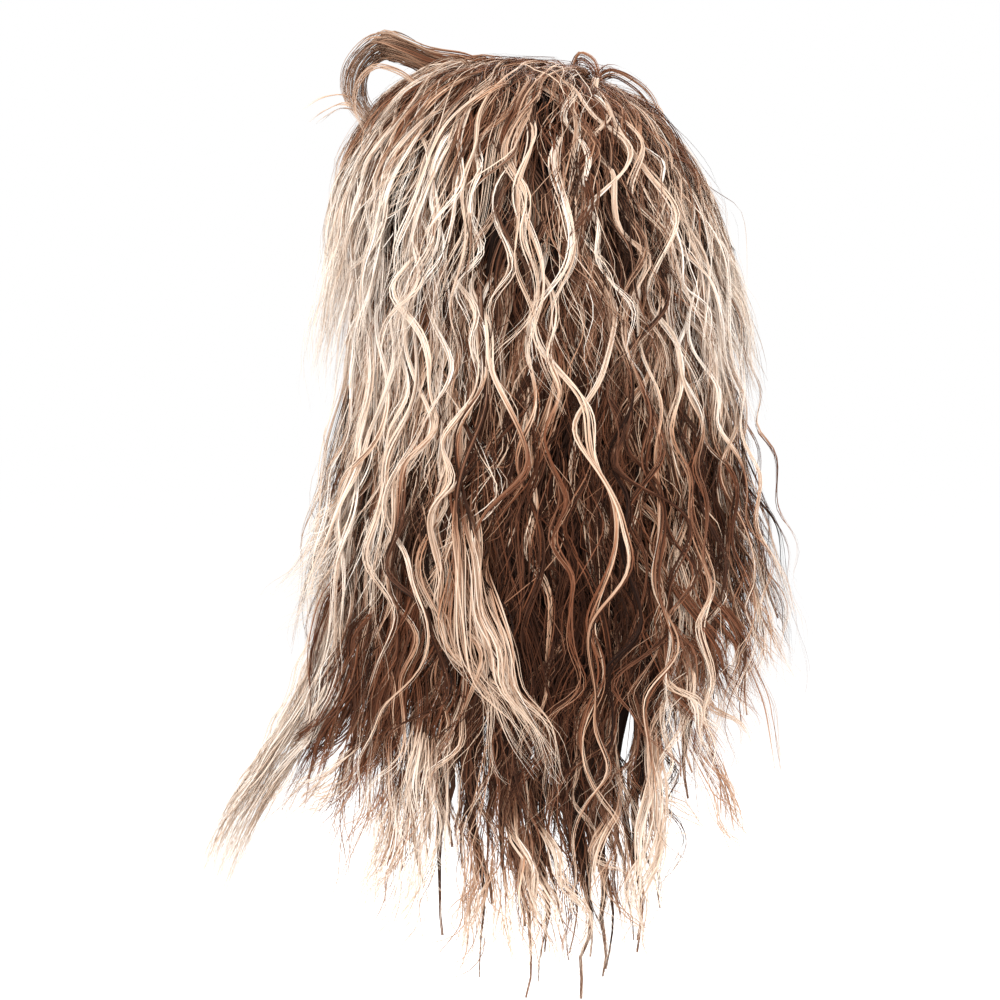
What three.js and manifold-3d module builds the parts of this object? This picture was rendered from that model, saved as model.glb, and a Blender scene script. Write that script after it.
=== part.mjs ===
// A mullet wig as it keeps its shape on a head: a thin cap with an elastic edge band, and wavy hair
// sewn to the cap in layers. The crown, side and fringe hair is short. The back and nape hair under
// it hangs long. Each layer is a set of locks fused to the strip of cloth that is sewn to the cap.
//
// Millimetres, +Z up. The origin is the inside of the cap's top, where it sits on the crown of the
// head. +Y is the way the wearer looks, so the long hair hangs on the -Y side.
// Azimuth is in degrees round the head from the middle of the back, positive towards +X. Latitude is
// in degrees down from the crown. Path is the distance down from the crown along the cap and then
// straight down. Lift is the distance out from the cap's outer surface.
import * as THREE from "three";
import { mergeVertices } from "three/addons/utils/BufferGeometryUtils.js";
import Module from "manifold-3d";

// The head that the cap takes, and the cap.
const headWidth = 152;
const headDepth = 192;
const crownHeight = 92;
const capWall = 1.6;
const bandHeight = 13;
const bandWall = 1.4;

// Clearances: pieces that are sewn together, and hair layers that lie over each other.
const sewnGap = 0.35;
const layerGap = 2.1;
const neighbourGapAngle = 1.2;

// The sewn strips, and how thick each layer of hair is where it is fullest.
const stripWall = 2;
const napeLoft = 14;
const backLoft = 14;
const crownLoft = 25;
const fullLoft = 47;
const crownLean = 0.3;

// Hair lengths, measured down from where each layer is sewn on.
const crownLength = 248;
const sideLength = 188;
const fringeLength = 126;
const backLength = 462;
const napeLength = 426;

// Where each layer of locks begins, as a path.
const crownStart = 4;
const fringeStart = 12;
const sideStart = 98;
const backStart = 108;
const napeStart = 132;

// The raised locks: where they begin, how far they run before they rise, and how far they rise.
const raisedStart = 240;
const raisedLead = 28;
const raisedRise = 60;
const raisedLoft = 11;

// How a layer swells from its roots to its full loft, and how the hanging hair fans out and sways.
const swellLead = 34;
const swellRise = 84;
const fullPath = 164;
const fanSpread = 0.32;
const fanFall = 250;
const swayAngle = 1.9;
const swayLength = 176;

// The cap's lower edge, and the azimuths that each layer covers.
const capEdge = [
  { azimuth: 0, latitude: 112 },
  { azimuth: 45, latitude: 106 },
  { azimuth: 90, latitude: 92 },
  { azimuth: 125, latitude: 84 },
  { azimuth: 180, latitude: 62 },
];
const capColumns = 32;
const sectionCrowding = 1.3;
const fringeSettle = 0.55;
const capRows = 7;

// A lock's half width and thickness on its way from root to tip, as shares of the fullest, and the
// corners of its section: how far across and how far through the lock each of them lies.
const lockTaper = [
  { along: 0, width: 0.92, thickness: 0.8 },
  { along: 0.25, width: 1, thickness: 1 },
  { along: 0.6, width: 0.97, thickness: 0.9 },
  { along: 0.82, width: 0.74, thickness: 0.64 },
  { along: 0.94, width: 0.38, thickness: 0.34 },
  { along: 1, width: 0.05, thickness: 0.1 },
];
const lockSection = [
  { across: 1, through: 0.45 },
  { across: 0.55, through: 1 },
  { across: -0.55, through: 1 },
  { across: -1, through: 0.45 },
  { across: 0, through: 0 },
];

// Each row is a lock, from left to right: its length as a share of the layer's, its thickness as a
// share of the layer's loft, how far its lower end stands out, as a share of the crown's loft, and
// for the long layers the azimuth by which it drifts aside on its way down.
const crownLocks = [
  { length: 0.76, thickness: 1, flare: 0.35 },
  { length: 0.84, thickness: 0.86, flare: 0.5 },
  { length: 0.9, thickness: 1.04, flare: 0.4 },
  { length: 0.85, thickness: 0.9, flare: 0.2 },
  { length: 0.98, thickness: 1, flare: 0 },
  { length: 1.04, thickness: 1.04, flare: 0.1 },
  { length: 0.94, thickness: 0.88, flare: 0 },
  { length: 1.03, thickness: 1, flare: 0.1 },
  { length: 0.95, thickness: 0.86, flare: 0 },
  { length: 1.02, thickness: 1.04, flare: 0 },
  { length: 0.97, thickness: 0.9, flare: 0.1 },
  { length: 0.94, thickness: 0.86, flare: 0.15 },
  { length: 0.84, thickness: 1.02, flare: 0.1 },
];
const fringeLocks = [
  { length: 0.98, thickness: 0.9, flare: 0 },
  { length: 0.9, thickness: 0.76, flare: 0 },
  { length: 1.04, thickness: 0.92, flare: 0.05 },
  { length: 0.86, thickness: 0.8, flare: 0 },
  { length: 0.96, thickness: 0.9, flare: 0.05 },
  { length: 1.02, thickness: 0.74, flare: 0 },
  { length: 0.88, thickness: 0.88, flare: 0 },
];
const sideLocks = [
  { length: 0.98, thickness: 1, flare: 0 },
  { length: 1.04, thickness: 0.84, flare: 0 },
  { length: 0.9, thickness: 1, flare: 0 },
  { length: 0.78, thickness: 0.84, flare: 0 },
];
const backLocks = {
  left: [
    { length: 0.86, thickness: 1, flare: 2.5, drift: -2 },
    { length: 0.76, thickness: 0.84, flare: 1.5, drift: -2 },
    { length: 0.9, thickness: 1, flare: 0.9, drift: 0 },
    { length: 0.84, thickness: 0.86, flare: 0.4, drift: 0 },
  ],
  middle: [
    { length: 0.97, thickness: 1, flare: 0.2, drift: 1 },
    { length: 0.9, thickness: 0.84, flare: 0, drift: 0 },
    { length: 1.02, thickness: 1, flare: 0.2, drift: 0 },
    { length: 0.95, thickness: 0.86, flare: 0, drift: -3 },
  ],
  right: [
    { length: 0.98, thickness: 1, flare: 0.1, drift: 3 },
    { length: 0.82, thickness: 0.84, flare: 0.3, drift: 2 },
    { length: 0.88, thickness: 1, flare: 0.5, drift: 1 },
    { length: 0.66, thickness: 0.86, flare: 1.3, drift: 1 },
  ],
};
const napeLocks = {
  left: [
    { length: 0.84, thickness: 0.96, flare: 0, drift: -3 },
    { length: 0.94, thickness: 0.86, flare: 0, drift: -1 },
  ],
  middle: [
    { length: 0.9, thickness: 1, flare: 0, drift: 1 },
    { length: 0.98, thickness: 0.84, flare: 0, drift: 0 },
    { length: 0.92, thickness: 1, flare: 0, drift: 0 },
    { length: 0.97, thickness: 0.84, flare: 0, drift: -2 },
  ],
  right: [
    { length: 0.95, thickness: 0.86, flare: 0, drift: 3 },
    { length: 0.83, thickness: 0.96, flare: 0, drift: 3 },
  ],
};

// The pale locks that lie over the long layer, each from under the crown's tips.
const raisedLocks = {
  left: [],
  middle: [{ azimuth: -16.2, halfWidth: 7, length: 236, thickness: 1, flare: 0, drift: 19 }],
  right: [{ azimuth: 32, halfWidth: 5, length: 262, thickness: 0.9, flare: 0, drift: -3 }],
};

// The azimuths that the crown and side hair are sewn on over, and the long layers' thirds.
const crownReach = 112.5;
const sideReach = { inner: 76, outer: 134 };
const backThirds = {
  left: { fromAzimuth: -72, toAzimuth: -24 },
  middle: { fromAzimuth: -24, toAzimuth: 24 },
  right: { fromAzimuth: 24, toAzimuth: 72 },
};
const napeThirds = {
  left: { fromAzimuth: -58, toAzimuth: -27 },
  middle: { fromAzimuth: -27, toAzimuth: 27 },
  right: { fromAzimuth: 27, toAzimuth: 58 },
};

// The two tufts that stand up at the sides of the crown and curl over, each a route of a few stops.
// Path is a share of the way from the crown to the widest level, and lift a share of the crown's loft.
const tufts = [
  {
    width: 15,
    thickness: 5,
    route: [
      { azimuth: -60, path: 0.2, lift: 0.9 },
      { azimuth: -72, path: 0.3, lift: 1.6 },
      { azimuth: -82, path: 0.41, lift: 2.45 },
      { azimuth: -90, path: 0.52, lift: 2.75 },
      { azimuth: -96, path: 0.64, lift: 2.45 },
      { azimuth: -97, path: 0.73, lift: 1.95 },
      { azimuth: -94, path: 0.78, lift: 1.6 },
    ],
  },
  {
    width: 9,
    thickness: 4,
    route: [
      { azimuth: 78, path: 0.1, lift: 0.45 },
      { azimuth: 86, path: 0.15, lift: 1 },
      { azimuth: 94, path: 0.24, lift: 1.45 },
      { azimuth: 98, path: 0.34, lift: 1.45 },
      { azimuth: 98, path: 0.44, lift: 1.25 },
      { azimuth: 96, path: 0.5, lift: 0.95 },
    ],
  },
];

const hairColours = { crown: 0xb08c74, side: 0xc9ab92, fringe: 0xa98066, back: 0x7d5a45, nape: 0x4f3527 };
const capColour = 0x3a2a22;
const bandColour = 0x1f1a18;

const wasm = await Module();
wasm.setup();

const { degToRad, smoothstep } = THREE.MathUtils;
const dome = new THREE.Vector3(headWidth / 2, headDepth / 2, crownHeight).addScalar(capWall);
const meanRadius = (headWidth + headDepth) / 4;
const domeArc = (Math.PI / 2) * Math.hypot(meanRadius, crownHeight) * Math.SQRT1_2;
const bandAngle = THREE.MathUtils.radToDeg(bandHeight / meanRadius);

// The value of a column at a place in a table, eased between the rows on either side of it.
function between(table, key, at, column) {
  const next = table.findIndex((row) => row[key] >= at);
  if (next === -1) return table.at(-1)[column];
  if (next === 0) return table[0][column];
  const [low, high] = [table[next - 1], table[next]];
  return THREE.MathUtils.lerp(low[column], high[column], smoothstep(at, low[key], high[key]));
}

// A point at a lift from the cap's outer surface.
function domePoint(azimuth, latitude, lift) {
  const [turn, tilt] = [degToRad(azimuth), degToRad(latitude)];
  const point = new THREE.Vector3(
    dome.x * Math.sin(tilt) * Math.sin(turn),
    -dome.y * Math.sin(tilt) * Math.cos(turn),
    dome.z * Math.cos(tilt),
  );
  const outward = point.clone().divide(dome).divide(dome).normalize();
  return point.addScaledVector(outward, lift).add(new THREE.Vector3(0, 0, -crownHeight));
}

// A point of the hair: over the cap down to its widest level, then hanging, fanned out and swaying.
function hairPoint(azimuth, path, lift) {
  const fall = Math.max(0, path - domeArc);
  const sway = swayAngle * smoothstep(fall, 0, fanFall);
  const swayed = azimuth + sway * Math.sin((2 * Math.PI * fall) / swayLength + degToRad(azimuth));
  const point = domePoint(swayed, (90 * Math.min(path, domeArc)) / domeArc, lift);
  point.x *= 1 + fanSpread * smoothstep(fall, 0, fanFall);
  point.z -= fall;
  return point;
}

// How far a layer that starts at a path has swollen at another path, from 0 to 1.
function swell(path, start) {
  return smoothstep(path, start - swellLead, start + swellRise);
}

// The lifts between which each layer's locks lie at a path.
const layers = {
  nape: (path) => ({ low: layerGap / 2, high: (layerGap + napeLoft) * swell(path, napeStart) }),
  back: (path) => {
    const grown = swell(path, backStart);
    const under = layers.nape(path).high;
    return { low: under + layerGap * (1 + grown) * 0.5, high: under + (layerGap + backLoft) * grown };
  },
  raised: (path) => {
    const { high } = layers.back(path);
    const clear = raisedStart + raisedLead;
    return { low: high - raisedLoft, high: high + raisedLoft * smoothstep(path, clear, clear + raisedRise) };
  },
  crown: (path, azimuth) => {
    const settled = 1 - fringeSettle * smoothstep(Math.abs(azimuth), 136, 156);
    const leaning = 1 - crownLean * Math.sin(degToRad(azimuth)) * (1 - smoothstep(path, 60, fullPath));
    const full = leaning * (crownLoft + (fullLoft - crownLoft) * smoothstep(path, 0, fullPath));
    return { low: settled * layers.back(path).high + layerGap, high: settled * full };
  },
};

// A stock shape with each of its points moved, as a solid that faces outwards.
function reshaped(stock, place) {
  stock.deleteAttribute("uv");
  stock.deleteAttribute("normal");
  const shape = mergeVertices(stock, 1e-4);
  const { position } = shape.attributes;
  const point = new THREE.Vector3();
  for (let i = 0; i < position.count; i += 1) {
    point.copy(place(point.fromBufferAttribute(position, i)));
    position.setXYZ(i, point.x, point.y, point.z);
  }
  const made = solid(shape);
  if (made.volume() > 0) return made;
  shape.index.array.reverse();
  return solid(shape);
}

function solid(shape) {
  return new wasm.Manifold(
    new wasm.Mesh({
      numProp: 3,
      vertProperties: Float32Array.from(shape.attributes.position.array),
      triVerts: Uint32Array.from(shape.index.array),
    }),
  );
}

// The latitude of a row of the cap's grid: even rows down to the band, which is the last row.
function rowLatitude(azimuth, row) {
  const edge = between(capEdge, "azimuth", Math.abs(azimuth), "latitude");
  const bandTop = edge - bandAngle;
  const evenRows = capRows - 1;
  if (row <= evenRows) return (bandTop * row) / evenRows;
  return THREE.MathUtils.lerp(bandTop, edge, row - evenRows);
}

// A ring or dome that follows the cap's grid, turned from a profile of stops { row, lift }. The
// lathe's radius only numbers the stops, except that a stop on row 0 lies on the axis.
function aroundHead(profile) {
  const stops = profile.map(({ row }, i) => new THREE.Vector2(row === 0 ? 0 : 1 + (i % 2) / 2, i));
  const closed = profile[0].row === 0 ? stops : [...stops, stops[0]];
  const lathe = new THREE.LatheGeometry(closed, capColumns);
  return reshaped(lathe, (point) => {
    const azimuth = THREE.MathUtils.radToDeg(Math.atan2(point.x, point.z));
    const { row, lift } = profile[Math.round(point.y)];
    return domePoint(azimuth, rowLatitude(azimuth, row), lift);
  });
}

function cap() {
  const rows = Array.from({ length: capRows + 1 }, (_, row) => row);
  const outside = rows.map((row) => ({ row, lift: 0 }));
  const inside = rows.toReversed().map((row) => ({ row, lift: -capWall }));
  return aroundHead([...outside, ...inside]);
}

function edgeBand() {
  const outer = -capWall - sewnGap;
  const inner = outer - bandWall;
  return aroundHead([
    { row: capRows - 1, lift: inner },
    { row: capRows, lift: inner },
    { row: capRows, lift: outer },
    { row: capRows - 1, lift: outer },
  ]);
}

// A strip of cloth sewn to the cap, between two azimuths and two rows of the cap's grid.
function sewnStrip({ fromAzimuth, toAzimuth, fromRow, toRow }) {
  const column = 360 / capColumns;
  const columns = stops(fromAzimuth, toAzimuth, column);
  const rows = stops(fromRow, toRow, 1);
  const box = new THREE.BoxGeometry(1, 1, 1, columns.length - 1, rows.length - 1, 1);
  return reshaped(box, (point) => {
    const azimuth = columns[Math.round((point.x + 0.5) * (columns.length - 1))];
    const row = rows[Math.round((point.y + 0.5) * (rows.length - 1))];
    const lift = sewnGap + (point.z > 0 ? stripWall : 0);
    return domePoint(azimuth, rowLatitude(azimuth, row), lift);
  });
}

// Two ends and every multiple of a step that lies clear between them.
function stops(from, to, step) {
  const inner = [];
  for (let at = Math.floor(from / step) + 1; at * step < to - step / 8; at += 1) {
    if (at * step > from + step / 8) inner.push(at * step);
  }
  return [from, ...inner, to];
}

// One lock: a lens-shaped bundle that keeps within its layer, widest near the root and pointed at
// the tip. The cylinder's height runs down the lock, and its round runs across and through it. Its
// sections crowd towards the root, where the lock lies over the round of the cap.
function lock({ azimuth, halfWidth, start, length, flareFrom, sections, layer, ...row }) {
  const { thickness, flare, drift = 0 } = row;
  const sides = lockSection.length;
  const stock = new THREE.CylinderGeometry(1, 1, 1, sides, sections);
  return reshaped(stock, (point) => {
    const along = (0.5 - point.y) ** sectionCrowding;
    const path = start + along * length;
    const width = halfWidth * between(lockTaper, "along", along, "width");
    const { low, high } = layer(path, azimuth);
    const full = (high - low) * thickness * between(lockTaper, "along", along, "thickness");
    const standsOut = flare * crownLoft * smoothstep(path, flareFrom, start + length);
    const corner = Math.round((Math.atan2(point.x, point.z) / 2 / Math.PI) * sides + sides) % sides;
    const isEndCentre = Math.hypot(point.x, point.z) < 0.5;
    const { across, through } = isEndCentre ? { across: 0, through: 0.5 } : lockSection[corner];
    const aside = azimuth + drift * smoothstep(path, flareFrom, start + length);
    return hairPoint(aside + width * across, path, low + full * through + standsOut);
  });
}

// A row of locks side by side between two azimuths, close enough to fuse near their roots.
function rowOfLocks({ rows, fromAzimuth, toAzimuth, layerLength, overlap = 1.16, ...rest }) {
  const spacing = (toAzimuth - fromAzimuth) / rows.length;
  const widest = (spacing / 2) * overlap;
  return rows.map((row, i) => {
    const middle = fromAzimuth + spacing * (i + 0.5);
    const azimuth = THREE.MathUtils.clamp(middle, fromAzimuth + widest, toAzimuth - widest);
    return lock({ ...rest, ...row, azimuth, halfWidth: widest, length: row.length * layerLength });
  });
}

// A tuft that leaves the crown, stands up and curls over, with the same lens shape as a lock.
function tuft({ width, thickness, route }) {
  const sections = 8;
  const sides = 6;
  const line = new THREE.CatmullRomCurve3(
    route.map(({ azimuth, path, lift }) => hairPoint(azimuth, path * domeArc, lift * crownLoft)),
  );
  const { tangents, normals, binormals } = line.computeFrenetFrames(sections);
  const across = new THREE.Vector3(0, 1, 0);
  const stock = new THREE.CylinderGeometry(1, 1, 1, sides, sections);
  return reshaped(stock, (point) => {
    const along = 0.5 - point.y;
    const i = Math.round(along * sections);
    const size = 1 - 0.72 * along * along;
    const outward = new THREE.Vector3().crossVectors(tangents[i], across).normalize();
    const sideways = new THREE.Vector3().crossVectors(outward, tangents[i]).normalize();
    const place = line.getPoint(i / sections);
    place.addScaledVector(sideways, (point.z * width * size) / 2);
    return place.addScaledVector(outward, (point.x * thickness * size) / 2);
  });
}

// Solids joined into one, with any pocket that they shut in between them filled.
function fused(solids) {
  const shells = solids.reduce((whole, piece) => whole.add(piece)).decompose();
  const outer = shells.filter((shell) => shell.volume() > 0);
  if (outer.length > 1) throw new Error(`${outer.length} solids that do not meet`);
  return outer[0];
}

function crownHair() {
  const reach = { fromAzimuth: -crownReach, toAzimuth: crownReach };
  const strip = sewnStrip({ ...reach, fromRow: 0.35, toRow: 2.6 });
  const locks = rowOfLocks({
    ...reach,
    rows: crownLocks,
    start: crownStart,
    layerLength: crownLength,
    flareFrom: backStart,
    sections: 7,
    layer: layers.crown,
  });
  return fused([strip, ...locks, ...tufts.map(tuft)]);
}

function fringeHair() {
  const fromAzimuth = crownReach + neighbourGapAngle * 2;
  const toAzimuth = 360 - fromAzimuth;
  const strip = sewnStrip({ fromAzimuth, toAzimuth, fromRow: 0.7, toRow: 2.6 });
  const locks = rowOfLocks({
    rows: fringeLocks,
    fromAzimuth,
    toAzimuth,
    start: fringeStart,
    layerLength: fringeLength,
    flareFrom: backStart,
    sections: 6,
    layer: (path, azimuth) => layers.crown(path, azimuth > 180 ? azimuth - 360 : azimuth),
  });
  return fused([strip, ...locks]);
}

function sideHair(side) {
  const { inner, outer } = sideReach;
  const [fromAzimuth, toAzimuth] = side < 0 ? [-outer, -inner] : [inner, outer];
  const strip = sewnStrip({ fromAzimuth, toAzimuth, fromRow: 4.3, toRow: 5.7 });
  const locks = rowOfLocks({
    rows: side < 0 ? sideLocks.toReversed() : sideLocks,
    fromAzimuth,
    toAzimuth,
    start: sideStart,
    layerLength: sideLength,
    flareFrom: sideStart + sideLength,
    sections: 6,
    layer: layers.back,
  });
  return fused([strip, ...locks]);
}

// A third of a long layer.
function longHair({ reach, strip, over = [], ...rest }) {
  const fromAzimuth = reach.fromAzimuth + neighbourGapAngle / 2;
  const toAzimuth = reach.toAzimuth - neighbourGapAngle / 2;
  const backing = sewnStrip({ fromAzimuth, toAzimuth, ...strip });
  return fused([backing, ...rowOfLocks({ fromAzimuth, toAzimuth, ...rest }), ...over]);
}

function backHair(third) {
  const raised = { start: raisedStart, flareFrom: raisedStart + raisedLead, sections: 5 };
  return longHair({
    over: raisedLocks[third].map((row) => lock({ ...raised, ...row, layer: layers.raised })),
    rows: backLocks[third],
    reach: backThirds[third],
    strip: { fromRow: 4.1, toRow: 4.85 },
    start: backStart,
    layerLength: backLength,
    flareFrom: crownStart + crownLength * 1.1,
    sections: 11,
    layer: layers.back,
  });
}

function napeHair(third) {
  return longHair({
    rows: napeLocks[third],
    reach: napeThirds[third],
    strip: { fromRow: 5.25, toRow: 6.4 },
    start: napeStart,
    layerLength: napeLength,
    flareFrom: crownStart + crownLength,
    sections: 8,
    layer: layers.nape,
  });
}

const wig = new THREE.Group();
wig.name = "mullet_wig";

function addPiece(name, made, colour, roughness = 0.6) {
  const { numProp, vertProperties, triVerts } = made.getMesh();
  const geometry = new THREE.BufferGeometry();
  const places = new THREE.InterleavedBuffer(vertProperties, numProp);
  geometry.setAttribute("position", new THREE.InterleavedBufferAttribute(places, 3, 0));
  geometry.setIndex(new THREE.BufferAttribute(triVerts, 1));
  geometry.computeVertexNormals();
  const material = new THREE.MeshStandardMaterial({ color: colour, roughness, metalness: 0 });
  const mesh = new THREE.Mesh(geometry, material);
  mesh.name = name;
  wig.add(mesh);
}

addPiece("cap", cap(), capColour, 0.9);
addPiece("edge_band", edgeBand(), bandColour, 0.85);
addPiece("crown_hair", crownHair(), hairColours.crown);
addPiece("fringe_hair", fringeHair(), hairColours.fringe);
addPiece("side_hair_left", sideHair(-1), hairColours.side);
addPiece("side_hair_right", sideHair(1), hairColours.side);
for (const third of ["left", "middle", "right"]) {
  addPiece(`back_hair_${third}`, backHair(third), hairColours.back);
  addPiece(`nape_hair_${third}`, napeHair(third), hairColours.nape);
}

export default wig;
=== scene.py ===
"""Dresses the mullet wig: a stretch cap with sewn rows, and layers of wavy fibre in brown and blonde.

Sizes are in millimetres until a mesh is made. Azimuth is in degrees round the head from the middle
of the back, positive towards +X. Path is the distance down from the crown along the cap and then
straight down, and it is negative in front of the crown. Lift is the distance out from the cap.
"""

import logging
import math
from dataclasses import dataclass, field
from enum import Enum

import bmesh
import bpy
import numpy as np
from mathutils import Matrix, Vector


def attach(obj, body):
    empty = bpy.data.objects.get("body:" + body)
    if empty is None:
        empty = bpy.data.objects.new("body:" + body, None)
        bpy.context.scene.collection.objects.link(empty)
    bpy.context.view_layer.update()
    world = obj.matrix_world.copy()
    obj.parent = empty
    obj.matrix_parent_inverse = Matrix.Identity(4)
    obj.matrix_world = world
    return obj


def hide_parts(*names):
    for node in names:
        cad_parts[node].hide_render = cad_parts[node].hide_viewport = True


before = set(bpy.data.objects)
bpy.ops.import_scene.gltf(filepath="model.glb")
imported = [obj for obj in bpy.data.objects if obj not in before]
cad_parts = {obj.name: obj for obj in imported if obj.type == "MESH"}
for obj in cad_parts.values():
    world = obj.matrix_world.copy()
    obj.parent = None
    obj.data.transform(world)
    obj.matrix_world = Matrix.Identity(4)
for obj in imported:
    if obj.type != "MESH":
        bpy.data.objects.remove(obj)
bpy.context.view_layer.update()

MM = 0.001
SEED = 7
log = logging.getLogger("mullet_wig")


def linear(hex_colour: str) -> tuple[float, float, float, float]:
    """Turns an sRGB hex colour to the linear numbers that a node holds.

    Args:
        hex_colour: Six hex digits, such as "e3cbb5".

    Returns:
        Red, green, blue and an alpha of 1.
    """
    parts = [int(hex_colour[i : i + 2], 16) / 255 for i in (0, 2, 4)]
    red, green, blue = (p / 12.92 if p <= 0.04045 else ((p + 0.055) / 1.055) ** 2.4 for p in parts)
    return red, green, blue, 1.0


def eased(value: np.ndarray, low: float, high: float) -> np.ndarray:
    """A smooth rise from 0 at low to 1 at high."""
    share = np.clip((value - low) / (high - low), 0, 1)
    return share * share * (3 - 2 * share)


def unit(vectors: np.ndarray) -> np.ndarray:
    """Vectors scaled to a length of 1."""
    size = np.linalg.norm(vectors, axis=-1, keepdims=True)
    return vectors / np.maximum(size, 1e-9)


def add_node(
    tree: bpy.types.NodeTree,
    kind: str,
    settings: dict[str, object] | None = None,
    inputs: dict[str | int, object] | None = None,
    stops: tuple[tuple[float, str], ...] = (),
) -> bpy.types.Node:
    """Adds a node with its settings, and with each input set or linked.

    Args:
        tree: The tree that the node goes in.
        kind: The node's type name.
        settings: Values for the node's own properties.
        inputs: For an input's name or number, a value or the output socket that feeds it.
        stops: Place and sRGB colour of each stop, where the node has a colour ramp.

    Returns:
        The new node.
    """
    node = tree.nodes.new(kind)
    for name, value in (settings or {}).items():
        setattr(node, name, value)
    for name, value in (inputs or {}).items():
        if isinstance(value, bpy.types.NodeSocket):
            tree.links.new(value, node.inputs[name])
        else:
            node.inputs[name].default_value = value
    for place, colour in stops[1:-1]:
        node.color_ramp.elements.new(place).color = linear(colour)
    for end in (0, -1) if stops else ():
        node.color_ramp.elements[end].color = linear(stops[end][1])
    return node


def new_finish(
    name: str, roughness: float
) -> tuple[bpy.types.Material, bpy.types.NodeTree, bpy.types.Node]:
    """Makes a material with nodes.

    Args:
        name: The material's name.
        roughness: How rough it is all over.

    Returns:
        The material, its tree and its shader.
    """
    made = bpy.data.materials.new(name)
    made.use_nodes = True
    shader = made.node_tree.nodes["Principled BSDF"]
    shader.inputs["Roughness"].default_value = roughness
    return made, made.node_tree, shader


def woven(
    tree: bpy.types.NodeTree,
    shader: bpy.types.Node,
    share: bpy.types.NodeSocket,
    colours: tuple[str, str],
    height: float,
    strength: float,
) -> None:
    """Colours and raises a shader by a pattern.

    Args:
        tree: The tree that the nodes go in.
        shader: The shader.
        share: The pattern, from 0 where it is low to 1 where it stands out.
        colours: sRGB hex colours where it is low and where it stands out.
        height: How far it stands out, in millimetres.
        strength: How strong the bump is.
    """
    low, high = (linear(each) for each in colours)
    colour = add_node(tree, "ShaderNodeMix", {"data_type": "RGBA"}, {0: share, 6: low, 7: high})
    bump = add_node(
        tree, "ShaderNodeBump", inputs={"Height": share, "Distance": height * MM, "Strength": strength}
    )
    tree.links.new(colour.outputs[2], shader.inputs["Base Color"])
    tree.links.new(bump.outputs["Normal"], shader.inputs["Normal"])


class Slot(Enum):
    """The record's material slots."""

    CAP_NET = "cap_net"
    ELASTIC = "elastic"
    SHORT_HAIR = "short_hair"
    LONG_HAIR = "long_hair"


@dataclass(frozen=True)
class FibreFinish:
    """Heat-set modacrylic wig fibre, dyed in the yarn.

    It is drawn smooth, so it has a soft satin line of light along it. Darker roots and mixed dye
    lots give each fibre its own place between dark brown and cream. Deeper fibres are painted
    darker as shade, and the dark brown underlay cards are darkened towards black as painted shade.
    """

    name: str = "modacrylic fibre, dyed and heat set"
    warm_dyes: tuple[tuple[float, str], ...] = (
        (0.0, "1c0f0a"),
        (0.2, "3d2216"),
        (0.42, "7d4c34"),
        (0.62, "b98a6b"),
        (0.82, "e6c8ad"),
        (1.0, "fbeee0"),
    )
    ashen_dyes: tuple[tuple[float, str], ...] = (
        (0.0, "1d1612"),
        (0.2, "3b2e25"),
        (0.42, "735f50"),
        (0.62, "ab9683"),
        (0.82, "deccbc"),
        (1.0, "f9f1e8"),
    )
    roughness: float = 0.5
    streak_width: float = 0.5  # a fibre is 0.07 mm: drawn as coarse as it needs to show
    streak_length: float = 45.0

    def material(self) -> bpy.types.Material:
        """Builds the material.

        Returns:
            A material that reads the piece's tone, warmth and fibre map.
        """
        made, tree, shader = new_finish(self.name, self.roughness)
        across = add_node(tree, "ShaderNodeUVMap", {"uv_map": "fibre"})
        stretched = add_node(
            tree,
            "ShaderNodeMapping",
            inputs={
                "Vector": across.outputs["UV"],
                "Scale": (1 / (self.streak_width * MM), 1 / (self.streak_length * MM), 1),
            },
        )
        streaks = add_node(
            tree, "ShaderNodeTexNoise", {"noise_dimensions": "2D"},
            {"Vector": stretched.outputs["Vector"], "Scale": 1.0, "Detail": 2.0},
        )
        tone = add_node(tree, "ShaderNodeAttribute", {"attribute_name": "tone"})
        warmth = add_node(tree, "ShaderNodeAttribute", {"attribute_name": "warmth"})
        varied = add_node(
            tree, "ShaderNodeMath", {"operation": "MULTIPLY_ADD"},
            {0: streaks.outputs["Fac"], 1: 0.42, 2: -0.21},
        )
        shade = add_node(
            tree, "ShaderNodeMath", {"operation": "ADD", "use_clamp": True},
            {0: tone.outputs["Fac"], 1: varied.outputs["Value"]},
        )
        ashen, warm = (
            add_node(tree, "ShaderNodeValToRGB", inputs={"Fac": shade.outputs["Value"]}, stops=dyes)
            for dyes in (self.ashen_dyes, self.warm_dyes)
        )
        dyed = add_node(
            tree, "ShaderNodeMix", {"data_type": "RGBA"},
            {0: warmth.outputs["Fac"], 6: ashen.outputs["Color"], 7: warm.outputs["Color"]},
        )
        tree.links.new(dyed.outputs[2], shader.inputs["Base Color"])
        shader.inputs["IOR"].default_value = 1.5
        shader.inputs["Specular IOR Level"].default_value = 0.06
        return made


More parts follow.
